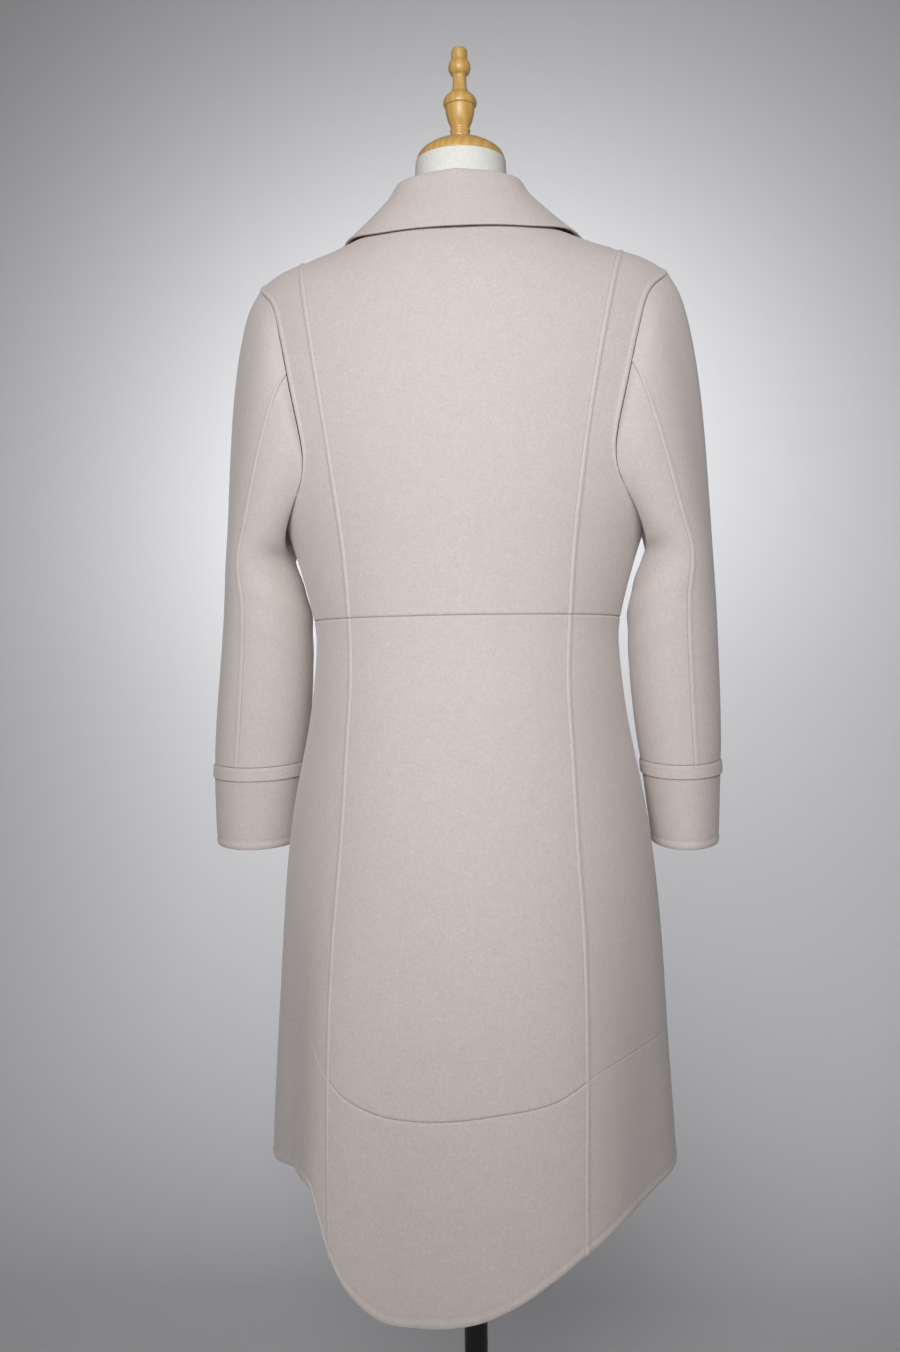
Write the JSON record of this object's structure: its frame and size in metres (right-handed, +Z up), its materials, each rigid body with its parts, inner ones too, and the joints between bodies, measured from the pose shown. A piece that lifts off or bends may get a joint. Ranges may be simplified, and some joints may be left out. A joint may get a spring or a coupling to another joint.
{
  "type": "cashmere coat on a limbless dress form",
  "caption": "Long A-line cashmere coat with a turn-down collar, seamed skirt and dipped hem, worn by a limbless dress form on a pole stand.",
  "frame": {"origin": "centre of the stand base's underside, on the floor", "axes": "+Z up along the pole; the coat's back faces -Y and its left sleeve is at -X"},
  "size_m": [0.588, 0.4121, 1.628],
  "materials": {
    "cashmere": "brushed double-face wool, matt with a soft nap",
    "form_cover": "plain stretched cotton jersey",
    "form_wood": "clear satin varnish",
    "stand_black": "black powder coat"
  },
  "bodies": {
    "root": {"back_centre_bodice": "cashmere", "back_centre_skirt": "cashmere", "back_centre_hem": "cashmere", "collar": "cashmere", "back_side_bodice_left": "cashmere", "front_bodice_left": "cashmere", "back_side_skirt_left": "cashmere", "front_skirt_left": "cashmere", "back_side_hem_left": "cashmere", "front_hem_left": "cashmere", "upper_sleeve_left": "cashmere", "under_sleeve_left": "cashmere", "cuff_left": "cashmere", "cuff_welt_left": "cashmere", "back_side_bodice_right": "cashmere", "front_bodice_right": "cashmere", "back_side_skirt_right": "cashmere", "front_skirt_right": "cashmere", "back_side_hem_right": "cashmere", "front_hem_right": "cashmere", "upper_sleeve_right": "cashmere", "under_sleeve_right": "cashmere", "cuff_right": "cashmere", "cuff_welt_right": "cashmere", "form_torso": "form_cover", "neck_cap": "form_wood", "finial": "form_wood", "pole": "stand_black", "base": "stand_black"}
  },
  "joints": []
}
